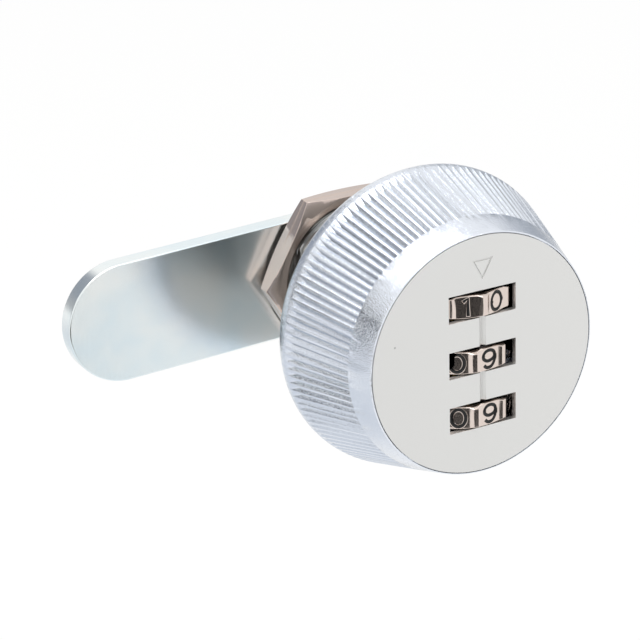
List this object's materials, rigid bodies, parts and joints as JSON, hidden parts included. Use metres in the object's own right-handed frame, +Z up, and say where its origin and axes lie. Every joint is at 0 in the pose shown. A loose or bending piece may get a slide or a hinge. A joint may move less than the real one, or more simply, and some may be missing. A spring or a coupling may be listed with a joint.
{
  "type": "combination lock",
  "caption": "Combination cam lock: round ridged knob with number wheels in its face, threaded barrel, hex nut and a flat straight cam.",
  "frame": {"origin": "on the lock's axis, at the panel face that the seat flange bears on", "axes": "+Y along the lock's axis from the face towards the cam, +Z up, +X to the right seen from the front; the cam points to -X"},
  "size_m": [0.0591, 0.043, 0.0396],
  "materials": {
    "knob_satin_chrome": "satin chrome on blasted zinc die casting",
    "face_polished": "fine polished plate",
    "wheel_nickel": "bright nickel with black filled numbers",
    "nut_nickel": "bright nickel",
    "cam_zinc": "blue zinc plate on stamped steel",
    "base_zinc": "nickel on zinc die casting",
    "inner_steel": "turned and plated steel",
    "inner_brass": "turned brass",
    "spring_steel": "drawn spring wire and strip"
  },
  "bodies": {
    "base": {"base_body": "base_zinc", "hex_nut": "nut_nickel"},
    "knob": {"knob_shell": "knob_satin_chrome", "face_plate": "face_polished", "dial_carrier": "inner_steel", "back_cover": "inner_steel", "cover_screws": "inner_steel", "dial_shaft": "inner_steel", "dial_spacer_1": "inner_brass", "dial_spacer_2": "inner_brass", "detent_leaf": "spring_steel", "bar_spring_1": "spring_steel", "bar_spring_2": "spring_steel", "detent_ball": "inner_steel", "detent_spring": "spring_steel", "spindle": "inner_steel", "retaining_ring": "spring_steel", "stop_washer": "inner_steel", "cam": "cam_zinc", "cam_washer": "inner_steel", "cam_screw": "inner_steel"},
    "dial_1": {"dial_wheel_1": "wheel_nickel", "gate_sleeve_1": "inner_brass"},
    "dial_2": {"dial_wheel_2": "wheel_nickel", "gate_sleeve_2": "inner_brass"},
    "dial_3": {"dial_wheel_3": "wheel_nickel", "gate_sleeve_3": "inner_brass"},
    "bar": {"locking_bar": "inner_brass"}
  },
  "joints": [
    {"name": "knob_turn", "type": "hinge", "parent": "base", "child": "knob", "pos_m": [0, 0, 0], "axis": [0, 1, 0], "range_deg": [0, 90]},
    {"name": "dial_1_turn", "type": "hinge", "parent": "knob", "child": "dial_1", "pos_m": [0, -0.01142, 0.00658], "axis": [0, 0, 1], "continuous": true},
    {"name": "dial_2_turn", "type": "hinge", "parent": "knob", "child": "dial_2", "pos_m": [0, -0.01142, -0.00072], "axis": [0, 0, 1], "continuous": true},
    {"name": "dial_3_turn", "type": "hinge", "parent": "knob", "child": "dial_3", "pos_m": [0, -0.01142, -0.00802], "axis": [0, 0, 1], "continuous": true},
    {"name": "bar_slide", "type": "slide", "parent": "knob", "child": "bar", "axis": [0, 1, 0], "range_m": [0, 0.0011], "stiffness_N_per_m": 300, "springref_m": 0.0025}
  ]
}
